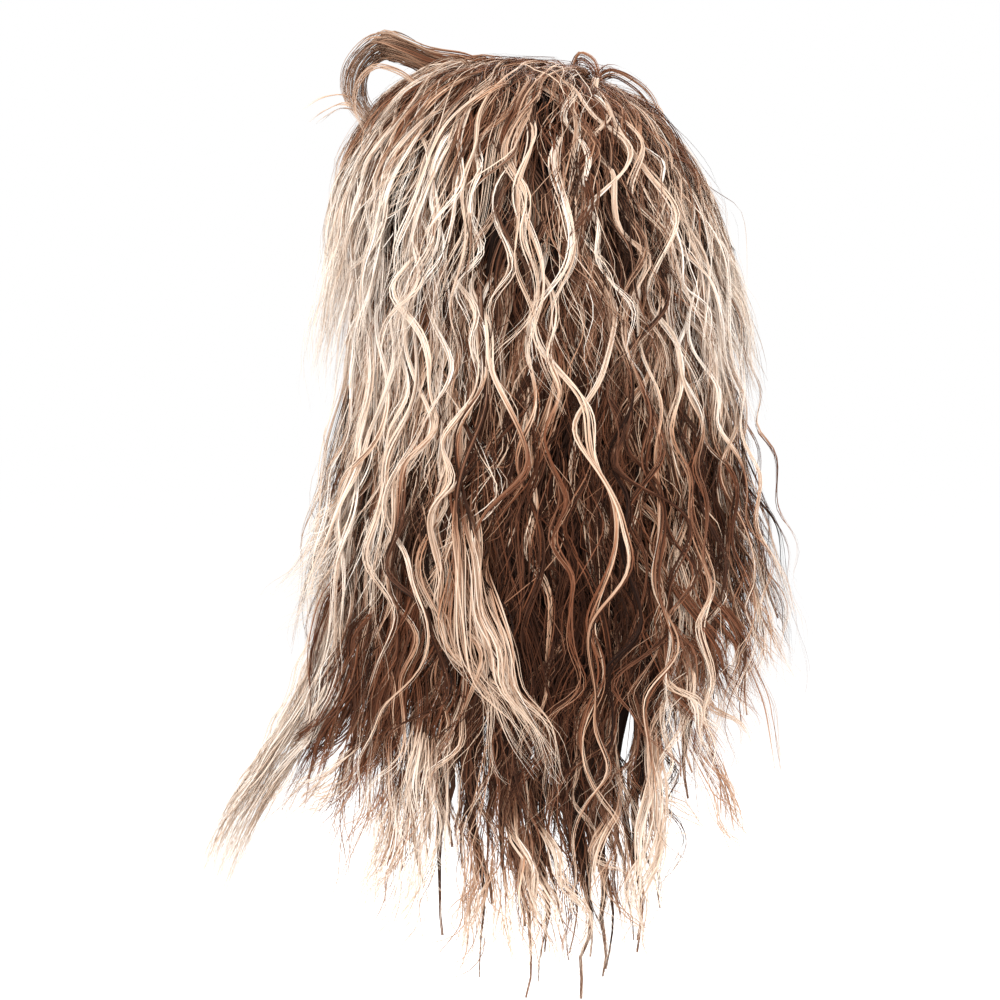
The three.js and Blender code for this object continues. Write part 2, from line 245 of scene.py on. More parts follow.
@dataclass(frozen=True)
class NetFinish:
    """Warp-knitted nylon stretch net.

    Crossed threads leave small diamond holes, so it reads as a fine dark lattice.
    """

    name: str = "nylon stretch net, warp knitted"
    thread: str = "5a4336"
    hole: str = "2c201a"
    pitch: float = 2.2
    relief: float = 0.3

    def material(self) -> bpy.types.Material:
        """Builds the material.

        Returns:
            A material with a lattice of threads on Object coordinates.
        """
        made, tree, shader = new_finish(self.name, 0.8)
        where = add_node(tree, "ShaderNodeTexCoord")
        bands = []
        for turn in (45, -45):
            turned = add_node(
                tree,
                "ShaderNodeMapping",
                inputs={
                    "Vector": where.outputs["Object"],
                    "Rotation": (math.radians(turn), math.radians(turn), 0),
                },
            )
            bands.append(
                add_node(
                    tree, "ShaderNodeTexWave", {"bands_direction": "Z"},
                    {"Vector": turned.outputs["Vector"], "Scale": 1 / (self.pitch * MM) / 3.14},
                )
            )
        threads = add_node(
            tree, "ShaderNodeMath", {"operation": "MAXIMUM"},
            {0: bands[0].outputs["Fac"], 1: bands[1].outputs["Fac"]},
        )
        woven(tree, shader, threads.outputs["Value"], (self.hole, self.thread), self.relief, 0.7)
        return made


@dataclass(frozen=True)
class TapeFinish:
    """Woven polyester tape: dense ribs with a dull thread grain."""

    name: str
    colour: str
    grain: str
    pitch: float = 0.9
    relief: float = 0.2

    def material(self) -> bpy.types.Material:
        """Builds the material.

        Returns:
            A material with a fine thread grain on Object coordinates.
        """
        made, tree, shader = new_finish(self.name, 0.85)
        where = add_node(tree, "ShaderNodeTexCoord")
        grain = add_node(
            tree, "ShaderNodeTexNoise",
            inputs={"Vector": where.outputs["Object"], "Scale": 1 / (self.pitch * MM), "Detail": 3.0},
        )
        woven(tree, shader, grain.outputs["Fac"], (self.colour, self.grain), self.relief, 0.6)
        return made


@dataclass(frozen=True)
class HeadForm:
    """The cap's outer surface, and the way hair drapes over it and hangs from its widest level."""

    half_width: float = 77.6
    half_depth: float = 97.6
    rise: float = 93.6
    crown_height: float = 92.0
    arc: float = 139.9
    fan_spread: float = 0.32
    fan_fall: float = 250.0
    crown_loft: float = 25.0
    full_loft: float = 47.0
    full_path: float = 164.0
    lean_left: float = 0.3
    lean_right: float = 0.42
    crown_dip: float = 0.4
    fringe_settle: float = 0.55
    long_loft: float = 36.0
    sway: float = 1.9
    sway_length: float = 176.0
    cap_edge: tuple[tuple[float, float], ...] = ((0, 112), (45, 106), (90, 92), (125, 84), (180, 62))

    def axes(self) -> np.ndarray:
        """Half the cap's width and depth, and its rise."""
        return np.array([self.half_width, self.half_depth, self.rise])

    def ray(self, azimuth: np.ndarray, latitude: np.ndarray) -> np.ndarray:
        """Places on a ball with a radius of 1."""
        turn, tilt = np.radians(azimuth), np.radians(latitude)
        parts = np.sin(tilt) * np.sin(turn), -np.sin(tilt) * np.cos(turn), np.cos(tilt)
        return np.stack(np.broadcast_arrays(*parts), -1)

    def on_dome(self, azimuth: np.ndarray, latitude: np.ndarray, lift: np.ndarray) -> np.ndarray:
        """Places points over the cap.

        Args:
            azimuth: Degrees round the head.
            latitude: Degrees down from the crown.
            lift: Distance out from the cap.

        Returns:
            The points, in millimetres.
        """
        ray, axes = self.ray(azimuth, latitude), self.axes()
        out = unit(ray / axes)
        return ray * axes + out * np.asarray(lift)[..., None] - [0, 0, self.crown_height]

    def outward(self, azimuth: np.ndarray, path: np.ndarray) -> np.ndarray:
        """The cap's outward direction where hair lies over it."""
        return unit(self.ray(azimuth, 90 * np.minimum(path, self.arc) / self.arc) / self.axes())

    def place(self, azimuth: np.ndarray, path: np.ndarray, lift: np.ndarray) -> np.ndarray:
        """Places points of hair.

        Args:
            azimuth: Degrees round the head.
            path: Distance down from the crown.
            lift: Distance out from the cap.

        Returns:
            The points, in millimetres.
        """
        fall = np.maximum(0, path - self.arc)
        turn = 2 * math.pi * fall / self.sway_length + np.radians(azimuth)
        azimuth = azimuth + self.sway * eased(fall, 0, self.fan_fall) * np.sin(turn)
        points = self.on_dome(azimuth, 90 * np.minimum(path, self.arc) / self.arc, lift)
        points[..., 0] *= 1 + self.fan_spread * eased(fall, 0, self.fan_fall)
        points[..., 2] -= fall
        return points

    def loft(self, azimuth: np.ndarray, path: np.ndarray) -> np.ndarray:
        """How far out the hair stands in all: little at the crown, and more on its left."""
        turned = np.abs((azimuth + 180) % 360 - 180)
        settled = 1 - self.fringe_settle * eased(turned, 136, 156)
        down = np.abs(path)
        side = np.sin(np.radians(azimuth))
        fades = np.where(side < 0, eased(down, 60, self.full_path), eased(down, 90, 196))
        lean = np.where(side < 0, self.lean_left, self.lean_right) * side * (1 - fades)
        dip = self.crown_dip * (1 - eased(down, 10, 70))
        rise = self.full_loft - self.crown_loft
        full = self.crown_loft + rise * eased(down, 0, self.full_path)
        return settled * (1 - lean) * (1 - dip) * full

    def behind(self, across: np.ndarray, up: np.ndarray) -> np.ndarray:
        """How far back the long hair's surface lies.

        Args:
            across: Distances across the wig.
            up: Heights.

        Returns:
            The surface's place along Y.
        """
        fanned = 1 + self.fan_spread * eased(-self.crown_height - up, 0, self.fan_fall)
        share = np.clip(across / (self.half_width + self.long_loft) / fanned, -0.93, 0.93)
        return -(self.half_depth + self.long_loft) * np.sqrt(1 - share**2)

    def edge_latitude(self, azimuth: np.ndarray) -> np.ndarray:
        """The latitude of the cap's lower edge."""
        at, latitude = np.array(self.cap_edge, float).T
        low = np.clip(np.searchsorted(at, np.abs(azimuth), "right") - 1, 0, len(at) - 2)
        share = (np.abs(azimuth) - at[low]) / (at[low + 1] - at[low])
        share = share * share * (3 - 2 * share)
        return latitude[low] + (latitude[low + 1] - latitude[low]) * share


HEAD = HeadForm()


@dataclass(frozen=True)
class ShadeZone:
    """A part of the hair with a colour of its own, centred at a place seen from behind."""

    across: float
    up: float
    reach: tuple[float, float]
    blonde: float
    warm: float


@dataclass(frozen=True)
class DyePlan:
    """How much of the hair is blonde, and how warm it is, over the back of the wig."""

    zones: tuple[ShadeZone, ...] = (
        ShadeZone(-94, -100, (38, 76), 1.05, 0.35),
        ShadeZone(-50, -96, (28, 56), 0.48, 0.65),
        ShadeZone(2, -118, (26, 60), 0.44, 0.7),
        ShadeZone(64, -94, (30, 56), 0.34, 0.65),
        ShadeZone(106, -141, (22, 62), 0.95, 0.3),
        ShadeZone(0, -226, (54, 42), -0.06, 0.9),
        ShadeZone(90, -232, (44, 50), 0.06, 1.0),
        ShadeZone(-84, -204, (38, 34), 0.56, 0.75),
        ShadeZone(-66, -282, (30, 50), 0.14, 0.65),
        ShadeZone(-116, -276, (20, 44), 0.66, 0.4),
        ShadeZone(-94, -340, (30, 44), -0.02, 1.0),
        ShadeZone(12, -330, (44, 62), -0.38, 0.95),
        ShadeZone(88, -350, (34, 56), 0.45, 0.8),
        ShadeZone(-82, -447, (34, 50), 0.8, 0.35),
        ShadeZone(-8, -426, (44, 44), -0.12, 0.8),
        ShadeZone(66, -450, (36, 56), 0.5, 0.6),
        ShadeZone(-165, -415, (40, 52), 0.97, 0.2),
        ShadeZone(0, -522, (130, 32), 1.1, 0.45),
    )
    rest_blonde: float = 0.4
    rest_warm: float = 0.65
    rest_weight: float = 0.1

    def at(self, points: np.ndarray) -> tuple[np.ndarray, np.ndarray]:
        """Reads the plan.

        Args:
            points: Places in the hair, in millimetres.

        Returns:
            The share that is blonde at each place, and how warm its dyes are.
        """
        behind = eased(-points[:, 1], -40, 10)
        weight = np.full(len(points), self.rest_weight)
        blonde, warm = weight * self.rest_blonde, weight * self.rest_warm
        for zone in self.zones:
            far = ((points[:, 0] - zone.across) / zone.reach[0]) ** 2
            far = far + ((points[:, 2] - zone.up) / zone.reach[1]) ** 2
            near = behind * np.exp(-far)
            weight, blonde = weight + near, blonde + near * zone.blonde
            warm = warm + near * zone.warm
        return blonde / weight, warm / weight


@dataclass(frozen=True)
class Slit:
    """A gap that runs right through the long hair, between two locks."""

    across: float
    up: float
    half_width: float
    half_height: float


SLITS = (Slit(48, -371, 5.2, 20), Slit(110, -329, 2.2, 8), Slit(-50, -404, 2.2, 14))


@dataclass(frozen=True)
class LockStyle:
    """How the fibres of one kind of lock lie together. Sizes are in millimetres."""

    fibres: int
    spread: float
    depth: float
    width: float
    wave: float
    wave_length: float = 46.0
    roam: float = 5.0
    step: float = 8.5
    columns: int = 2
    loose: float = 0.35
    stray: float = 1.5
    ragged: float = 0.25
    gather: float = 0.75
    pale: float = 0.0
    longer: float = 0.0


# Underlay cards: the wig's dark brown undercoat, tinted towards black as painted shade in the depths of the
# hair
UNDERLAY = LockStyle(1, 3.0, 1.0, 9.0, 1.5, roam=3.0, step=12.0, columns=4, ragged=0.1)
BODY = LockStyle(14, 6.6, 4.0, 0.72, 4.8, wave_length=68.0, roam=9.0, pale=-0.06)
WAVY = LockStyle(8, 2.0, 1.6, 0.66, 5.4, 54.0, 9.0, step=6.5, loose=0.22, stray=1.0, pale=0.22)
BOLD = LockStyle(7, 1.4, 1.2, 0.84, 7.0, 62.0, 10.0, step=6.0, loose=0.12, stray=2.0, pale=0.34)
FINE = LockStyle(6, 9.0, 5.0, 0.42, 4.0, roam=11.0, loose=1.4, stray=9.0, pale=0.2, longer=22.0)
FUZZ = LockStyle(9, 13.0, 4.0, 0.4, 2.8, wave_length=34.0, roam=8.0, step=10.0, loose=2.0, stray=10.0)
INNER = LockStyle(10, 8.0, 6.0, 0.74, 5.4, 70.0, 9.0, step=10.5, ragged=0.36, gather=0.66)
CURL = LockStyle(12, 3.6, 3.0, 0.7, 0.8, roam=1.5, step=4.0, loose=1.2, stray=3.0, ragged=0.05)
TAIL = LockStyle(13, 4.6, 3.0, 0.72, 4.2, 62.0, 6.0, step=7.0, loose=0.4, stray=3.0)
FLARED = LockStyle(14, 5.0, 4.0, 0.66, 2.4, roam=3.0, step=7.0, loose=0.6, stray=3.0, ragged=0.12)
LOOSE = LockStyle(6, 7.0, 4.0, 0.5, 5.0, roam=7.0, step=6.0, loose=0.9, stray=9.0, ragged=0.4)
WISP = LockStyle(6, 4.0, 2.4, 0.5, 3.0, roam=5.0, step=6.0, loose=0.8, stray=6.0)
LOOP = LockStyle(5, 1.8, 1.4, 0.55, 0.5, roam=0.6, step=3.0, loose=0.6, stray=1.5, ragged=0.03)
STRAY = LockStyle(4, 1.4, 1.4, 0.55, 1.4, roam=1.5, step=4.0, loose=0.5, stray=1.5, ragged=0.05)


@dataclass
class FibreMesh:
    """Gathers ribbons of fibre and makes one mesh of them."""

    places: list[np.ndarray] = field(default_factory=list)
    normals: list[np.ndarray] = field(default_factory=list)
    tones: list[np.ndarray] = field(default_factory=list)
    warmths: list[np.ndarray] = field(default_factory=list)
    maps: list[np.ndarray] = field(default_factory=list)
    quads: list[np.ndarray] = field(default_factory=list)
    count: int = 0

    def add(
        self,
        line: np.ndarray,
        across: np.ndarray,
        outward: np.ndarray,
        half_width: np.ndarray,
        tone: np.ndarray,
        warmth: np.ndarray,
        lengths: np.ndarray,
        offsets: np.ndarray,
        columns: int,
    ) -> None:
        """Adds ribbons that all have the same number of stops.

        Args:
            line: Each ribbon's middle line: ribbons, stops, 3.
            across: Its sideways direction at each stop.
            outward: The way it faces at each stop.
            half_width: Half its width at each stop.
            tone: Its tone at each stop.
            warmth: Its warmth at each stop.
            lengths: Distance from the root at each stop.
            offsets: Where each ribbon starts on the streaks' map.
            columns: How many vertices it has across.
        """
        ribbons, stops = line.shape[:2]
        side = np.linspace(-1, 1, columns)[:, None]
        wide = half_width[..., None, None]
        cupped = 0.3 * wide * side**2 if columns > 2 else 0.0
        places = line[:, :, None] + across[:, :, None] * wide * side - outward[:, :, None] * cupped
        normals = unit(outward[:, :, None] + across[:, :, None] * side * 0.8)
        grid = np.arange(ribbons * stops * columns).reshape(ribbons, stops, columns) + self.count
        corners = (grid[:, :-1, :-1], grid[:, :-1, 1:], grid[:, 1:, 1:], grid[:, 1:, :-1])
        self.quads.append(np.stack(corners, -1).reshape(-1, 4))
        self.places.append(places.reshape(-1, 3))
        self.normals.append(normals.reshape(-1, 3))
        shape = (ribbons, stops, columns)
        self.tones.append(np.broadcast_to(tone[..., None], shape).ravel())
        self.warmths.append(np.broadcast_to(warmth[..., None], shape).ravel())
        sideways = half_width[..., None] * side[:, 0] + offsets[:, None, None]
        downward = np.broadcast_to(lengths[..., None], shape)
        self.maps.append(np.stack([sideways, downward], -1).reshape(-1, 2))
        self.count += ribbons * stops * columns

    def triangles(self) -> int:
        """How many triangles the mesh has."""
        return 2 * sum(len(q) for q in self.quads)

    def piece(self, name: str, material: bpy.types.Material) -> bpy.types.Object:
        """Makes the object.

        Args:
            name: The piece's name.
            material: Its finish.

        Returns:
            The object, linked to the scene.
        """
        quads = np.concatenate(self.quads)
        mesh = bpy.data.meshes.new(name)
        mesh.vertices.add(self.count)
        mesh.vertices.foreach_set("co", (np.concatenate(self.places) * MM).ravel())
        mesh.loops.add(quads.size)
        mesh.loops.foreach_set("vertex_index", quads.ravel().astype(np.int32))
        mesh.polygons.add(len(quads))
        mesh.polygons.foreach_set("loop_start", np.arange(0, quads.size, 4, dtype=np.int32))
        mesh.update(calc_edges=True)
        for label, values in (("tone", self.tones), ("warmth", self.warmths)):
            layer = mesh.attributes.new(label, "FLOAT", "POINT")
            layer.data.foreach_set("value", np.concatenate(values).astype(np.float32))
        fibre_map = mesh.uv_layers.new(name="fibre")
        placed = np.concatenate(self.maps)[quads.ravel()] * MM
        fibre_map.uv.foreach_set("vector", placed.ravel().astype(np.float32))
        mesh.shade_smooth()
        mesh.normals_split_custom_set_from_vertices(np.concatenate(self.normals).tolist())
        mesh.materials.append(material)
        made = bpy.data.objects.new(name, mesh)
        bpy.context.scene.collection.objects.link(made)
        return made


@dataclass
class DyeAndShade:
    """What colours one lock."""

    root: float = 0.4
    # shade is painted shade: how much darker the lock's deeper fibres are coloured
    shade: float = 0.0
    # under lifts an inner layer's underlay cards from their near-black painted shade
    under: float = 0.0
    tone: float | None = None
    warm: float | None = None
    rooted: tuple[float, float] = (30.0, 120.0)


@dataclass
class Grower:
    """Lays the fibres of a lock along its middle line.

    Hair above the rust band's upper level keeps its copper roots. Clump is how much blonde gathers
    in neighbouring locks, and crossing the share of locks that run over a gap. Reach is the most
    that a fibre stands out from its lock. Blend is how far blonde and brown run into each other.
    """

    rng: np.random.Generator
    plan: DyePlan = DyePlan()
    rust: tuple[float, float] = (-64.0, -16.0)
    clump: float = 0.16
    crossing: float = 0.1
    reach: float = 7.0
    roll: float = 0.35
    roll_length: float = 23.0
    most_roll: float = 0.7
    tapered: float = 0.86
    widths: tuple[float, float] = (0.6, 1.45)
    dark_dye: float = 0.19
    light_dye: float = 0.73
    blend: tuple[float, float] = (-0.26, 0.2)
    worn_tip: float = 0.42
    root_warmth: float = 0.95

    def lock(
        self, mesh: FibreMesh, line: np.ndarray, outward: np.ndarray, style: LockStyle, dye: DyeAndShade
    ) -> None:
        """Adds one lock to a mesh.

        Args:
            mesh: The mesh that the fibres go in.
            line: The lock's middle line from root to tip, in millimetres.
            outward: The way the hair faces along it.
            style: How its fibres lie.
            dye: What colours it.
        """
        rng, fibres = self.rng, style.fibres
        steps = np.linalg.norm(np.diff(line, axis=0), axis=1)
        along = np.concatenate([[0], np.cumsum(steps)])
        total = along[-1]
        stops = max(6, round(total / style.step) + 1)
        first = rng.uniform(0, 0.05, (fibres, 1))
        last = 1 - style.ragged * rng.random((fibres, 1)) ** 1.5
        share = first + (last - first) * np.linspace(0, 1, stops)
        at = share * total
        centre, facing = self.sampled(at, along, line), unit(self.sampled(at, along, outward))
        side = unit(np.cross(unit(np.gradient(centre, axis=1)), facing))

        over, out = rng.normal(0, 0.5, (2, fibres, 1))
        gathered = (0.6 + 0.4 * eased(share, 0, 0.15)) * (1 - style.gather * eased(share, 0.35, 1.05))
        swung, lifted = self.waves(at, share, style)
        sideways = over * style.spread * gathered + swung
        outwards = out * style.depth * gathered + lifted
        outwards = self.reach * np.tanh(outwards / self.reach)
        centre = centre + side * sideways[..., None] + facing * outwards[..., None]
        if rng.random() > self.crossing:
            centre = self.parted(centre, style.width / 2)

        tangent = unit(np.gradient(centre, axis=1))
        roll = rng.normal(0, self.roll, (fibres, 1))
        roll = roll + self.roll * np.sin(at / self.roll_length + rng.uniform(0, 6, (fibres, 1)))
        roll = np.clip(roll, -self.most_roll, self.most_roll)
        across = unit(np.cross(tangent, facing))
        face = np.cross(across, tangent)
        turned = across * np.cos(roll)[..., None] + face * np.sin(roll)[..., None]
        face = face * np.cos(roll)[..., None] - across * np.sin(roll)[..., None]
        taper = (0.7 + 0.3 * eased(share, 0, 0.15)) * (1 - self.tapered * eased(share / last, 0.6, 1.0))
        width = style.width * rng.uniform(*self.widths, (fibres, 1)) * taper
        tone, warmth = self.colours(line, along, at, share, style, dye)
        offsets = rng.uniform(0, 400, fibres)
        mesh.add(centre, turned, face, width / 2, tone, warmth, at, offsets, style.columns)

    def sampled(self, at: np.ndarray, along: np.ndarray, values: np.ndarray) -> np.ndarray:
        """Values of a line at distances along it."""
        return np.stack([np.interp(at, along, values[:, i]) for i in range(3)], -1)

    def waves(self, at: np.ndarray, share: np.ndarray, style: LockStyle) -> tuple[np.ndarray, np.ndarray]:
        """Works out how a lock's fibres swing, with waves of uneven length and height.

        Args:
            at: Distance from the root at each fibre's stops.
            share: The same, as a share of the lock's length.
            style: How its fibres lie.

        Returns:
            How far each stop swings sideways, and how far outwards.
        """
        rng, fibres = self.rng, style.fibres
        length = style.wave_length * rng.uniform(0.75, 1.4)
        phase = rng.uniform(0, 2 * math.pi, (4, 1, 1))
        own = rng.normal(0, style.loose, (4, fibres, 1))
        turn = 2 * math.pi * at / length
        swell = 0.4 + 0.6 * np.sin(turn / 3.3 + phase[3] + 0.4 * own[3]) ** 2
        height = style.wave * rng.uniform(0.5, 1.4) * rng.uniform(0.8, 1.2, (fibres, 1))
        grown = eased(at, 4, 48) * (0.75 + 0.35 * share)
        swing = swell * np.sin(turn + phase[0] + own[0]) + 0.5 * np.sin(turn / 1.83 + phase[1] + own[1])
        lift = swell * np.cos(turn + phase[0] + own[0] + 0.6) + 0.4 * np.sin(turn / 2.1 + phase[2])
        roam = style.roam * rng.normal(0, 0.8)
        slow = 2 * math.pi * at / rng.uniform(130, 260)
        roaming = roam * (np.sin(slow + phase[2]) - np.sin(phase[2])) * eased(at, 0, 60)
        wander = turn * 0.45 + rng.uniform(0, 6, (fibres, 1))
        astray = style.stray * share * rng.normal(0, 1, (fibres, 1))
        sideways = height * grown * swing + roaming + astray * np.sin(wander)
        return sideways, 0.45 * height * grown * lift + 0.5 * astray * np.cos(wander)

    def parted(self, centre: np.ndarray, margin: float) -> np.ndarray:
        """Moves fibres aside where a gap runs through the long hair."""
        moved = centre.copy()
        for slit in SLITS:
            aside = centre[..., 0] - slit.across
            tall = np.exp(-(((centre[..., 2] - slit.up) / slit.half_height) ** 4))
            mostly = (aside * tall).sum(-1, keepdims=True) / (tall.sum(-1, keepdims=True) + 1e-6)
            way = np.where(mostly < 0, -1.0, 1.0)
            short = np.maximum(0, slit.half_width + margin + 0.35 * np.abs(mostly) - way * aside)
            moved[..., 0] += way * short * tall * np.exp(-((mostly / 14) ** 2))
        return moved

    def colours(
        self,
        line: np.ndarray,
        along: np.ndarray,
        at: np.ndarray,
        share: np.ndarray,
        style: LockStyle,
        dye: DyeAndShade,
    ) -> tuple[np.ndarray, np.ndarray]:
        """Chooses a lock's dyes.

        Args:
            line: The lock's middle line.
            along: Distance from the root at each of its points.
            at: Distance from the root at each fibre's stops.
            share: The same, as a share of the lock's length.
            style: How its fibres lie.
            dye: What colours it.

        Returns:
            A tone and a warmth for each stop of each fibre.
        """
        rng, fibres = self.rng, style.fibres
        blonde, warm = (np.interp(at, along, values) for values in self.plan.at(line))
        if dye.warm is not None:
            warm = np.full_like(warm, dye.warm)
        if style.columns > 2:
            # Underlay cards: dark brown undercoat, darkened almost to black as painted shade; blonde zones and
            # dye.under lift it
            body = 0.05 + dye.under + 0.18 * np.maximum(0, blonde) ** 2 + rng.normal(0, 0.03)
        elif dye.tone is not None:
            body = dye.tone + rng.normal(0, 0.06, (fibres, 1)) + 0 * at
        else:
            middle = line[len(line) // 2]
            band = math.sin(middle[0] / 4.3 + 2.4 * math.sin(middle[2] / 52))
            rank = rng.random() - style.pale - self.clump * band + rng.normal(0, 0.09, (fibres, 1))
            light = self.light_dye + 0.2 * np.clip(blonde, 0, 1) + 0.1 * style.pale
            light = light + rng.normal(0, 0.05) + rng.normal(0, 0.06, (fibres, 1))
            dark = rng.normal(self.dark_dye, 0.07) + rng.normal(0, 0.08, (fibres, 1))
            body = dark + (light - dark) * eased(blonde - rank, *self.blend)
        grown = eased(at, dye.rooted[0] * rng.uniform(0.6, 1.4), dye.rooted[1] * rng.uniform(0.7, 1.3))
        low, high = self.rust
        height = np.interp(at, along, line[:, 2]) + rng.normal(0, 12)
        plain = dye.tone is not None or style is BOLD
        rusty = 0.15 if plain else 0.9 if rng.random() < 0.6 else 0.1
        grown = grown * (1 - rusty * eased(height, low, high))
        root = dye.root + rng.normal(0, 0.07) + rng.normal(0, 0.06, (fibres, 1))
        pale = self.worn_tip * (1 - body) * eased(share, 0.7, 1.0)
        # Taking off dye.shade paints shade on the deeper fibres
        tone = root + (body - root) * grown + pale - dye.shade
        warmth = self.root_warmth + (warm - self.root_warmth) * grown
        warmth = warmth + rng.normal(0, 0.12, (fibres, 1))
        return np.clip(tone, 0, 1), np.clip(warmth, 0, 1)


@dataclass(frozen=True)
class Tip:
    """Where the locks near an azimuth end: their path, and how far they stand out there."""

    azimuth: float
    path: float
    flare: float = 0.0


@dataclass
class HairLayer:
    """One sewn layer of hair, or a part of it. Sizes are in millimetres and degrees."""

    name: str
    node: str
    slot: Slot
    azimuths: tuple[float, float]
    roots: tuple[float, float]
    tips: tuple[Tip, ...]
    shares: tuple[float, float]
    locks: tuple[tuple[LockStyle, int], ...]
    bunches: int = 0
    flare_from: float = 272.0
    ragged: float = 0.25
    root_tone: float = 0.4
    swerve: float = 4.0
    aside: float = 0.0
    sweep: float = 0.0
    bold: tuple[float, float] = (0.1, 0.34)
    # Painted shade: how much darker the deepest locks of the layer are coloured
    shade: float = 0.2
    # How much this layer's underlay cards are lifted from their near-black painted shade
    under: float = 0.0
    underlay_end: float = 520.0
    fuzz_lengths: tuple[float, float] = (45.0, 110.0)
    root_lift: float = 2.0
    risen_by: float = 48.0

    def grow(self, grower: Grower) -> FibreMesh:
        """Lays all the layer's locks.

        Args:
            grower: What lays the fibres.

        Returns:
            The layer's mesh.
        """
        mesh = FibreMesh()
        tips = self.gathered(grower.rng)
        for style, count in self.locks:
            turns = grower.rng.permutation(count)
            for i in range(count):
                even = (turns[i] + grower.rng.uniform(0.05, 0.95)) / count
                rank = (i + 0.5) / count
                self.add_lock(mesh, grower, style, tips, even, rank)
        return mesh

    def gathered(self, rng: np.random.Generator) -> list[Tip]:
        """Lists the points that the locks gather to.

        Args:
            rng: The source of chance.

        Returns:
            The tips, or as many evenly spaced ones as the layer has bunches.
        """
        if not self.bunches:
            return list(self.tips)
        low, high = self.azimuths
        across = [tip.azimuth for tip in self.tips]
        made = []
        for i in range(self.bunches):
            azimuth = low + (high - low) * (i + rng.uniform(0.25, 0.75)) / self.bunches
            path = float(np.interp(azimuth, across, [tip.path for tip in self.tips]))
            flare = float(np.interp(azimuth, across, [tip.flare for tip in self.tips]))
            made.append(Tip(azimuth, path + rng.normal(0, 13), flare))
        return made

    def add_lock(
        self,
        mesh: FibreMesh,
        grower: Grower,
        style: LockStyle,
        tips: list[Tip],
        even: float,
        rank: float,
    ) -> None:
        """Adds one lock.

        Args:
            mesh: The mesh that it goes in.
            grower: What lays the fibres.
            style: How its fibres lie.
            tips: The points that the layer's locks gather to.
            even: Where it is sewn on between the layer's two azimuths, from 0 to 1.
            rank: Where it is sewn on between the first and last row, from 0 to 1.
        """
        rng = grower.rng
        under, fuzzy = style.columns > 2, style is FUZZ
        low, high = self.azimuths
        start = low + (high - low) * even
        guess = start + rng.normal(0, 2.5)
        tip = min(tips, key=lambda each: abs(each.azimuth - guess))
        root = self.roots[0] + (self.roots[1] - self.roots[0]) * rank
        end = root + (tip.path - root) * (1 - self.ragged * rng.random() ** 1.6)
        end = end - 4 * abs(tip.azimuth - start) + style.longer * rng.uniform(-0.2, 1)
        if fuzzy:
            end = root + (end - root) * rng.uniform(0.2, 1)
            root = max(root, end - rng.uniform(*self.fuzz_lengths))
        path = np.linspace(root, max(end, root + 40), 40)
        share = np.linspace(0, 1, 40)
        turn = 2 * math.pi * (share * rng.uniform(0.4, 0.9) + rng.random())
        swerve = rng.normal(0, self.swerve) * share + 0.5 * self.swerve * np.sin(turn)
        if fuzzy:
            swerve = rng.normal(0, 9) * share
        pull = rng.uniform(0.35, 0.9) * eased(path, root + 0.35 * (tip.path - root), tip.path)
        azimuth = start + swerve * eased(share, 0, 0.4) + (tip.azimuth - start) * pull
        if not under:
            azimuth = azimuth + self.sweep * np.sin(2 * np.radians(azimuth)) * eased(path, 15, 230)
        depth = self.shares[0] + (self.shares[1] - self.shares[0]) * rng.random() ** 0.8
        if under:
            depth = self.shares[0] + 0.4 * (self.shares[1] - self.shares[0]) * rng.random()
        if style in (WAVY, BOLD, FINE, FUZZ):
            least, most = self.bold if style is BOLD else (-0.25, 0.16)
            depth = self.shares[1] + (self.shares[1] - self.shares[0]) * rng.uniform(least, most)
        risen = 1 if fuzzy else eased(path, root - 4, root + self.risen_by)
        lift = self.root_lift + (depth * HEAD.loft(azimuth, path) - self.root_lift) * risen
        lift = lift + tip.flare * rng.uniform(0.6, 1.1) * eased(path, self.flare_from, tip.path)
        line = HEAD.place(azimuth, path, lift)
        outward = HEAD.outward(azimuth, path)
        side = unit(np.cross(unit(np.gradient(line, axis=0)), outward))
        crown = 1 - eased(path, -10, 90)
        line = line + side * (rng.normal(0, 1) * self.aside * crown)[:, None]
        # Painted shade: the deeper a lock lies below the layer's outer share, the darker it is coloured
        inner = (self.shares[1] - depth) / (self.shares[1] - self.shares[0])
        # Underlay cards get a near-black root tone, partly painted shade in the depths
        root_tone = 0.16 if under else self.root_tone
        rooted = (-2, -1) if fuzzy else (4, 60) if style is BOLD else (30, 115)
        dye = DyeAndShade(root_tone, self.shade * max(0.0, inner), self.under, rooted=rooted)
        grower.lock(mesh, line, outward, style, dye)

    def build(self, grower: Grower, material: bpy.types.Material) -> bpy.types.Object:
        """Makes the piece and gives it its place in the frame.

        Args:
            grower: What lays the fibres.
            material: The fibre's finish.

        Returns:
            The piece.
        """
        mesh = self.grow(grower)
        made = mesh.piece(self.name, material)
        settle(made, self.slot, self.node)
        log.info("%s: %d triangles", self.name, mesh.triangles())
        return made


def settle(piece: bpy.types.Object, slot: Slot, *nodes: str) -> None:
    """Puts a piece on the wig's body and hides the CAD nodes that it stands for; the slot is not used."""
    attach(piece, "root")
    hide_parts(*nodes)


Route = tuple[tuple[float, float], ...]


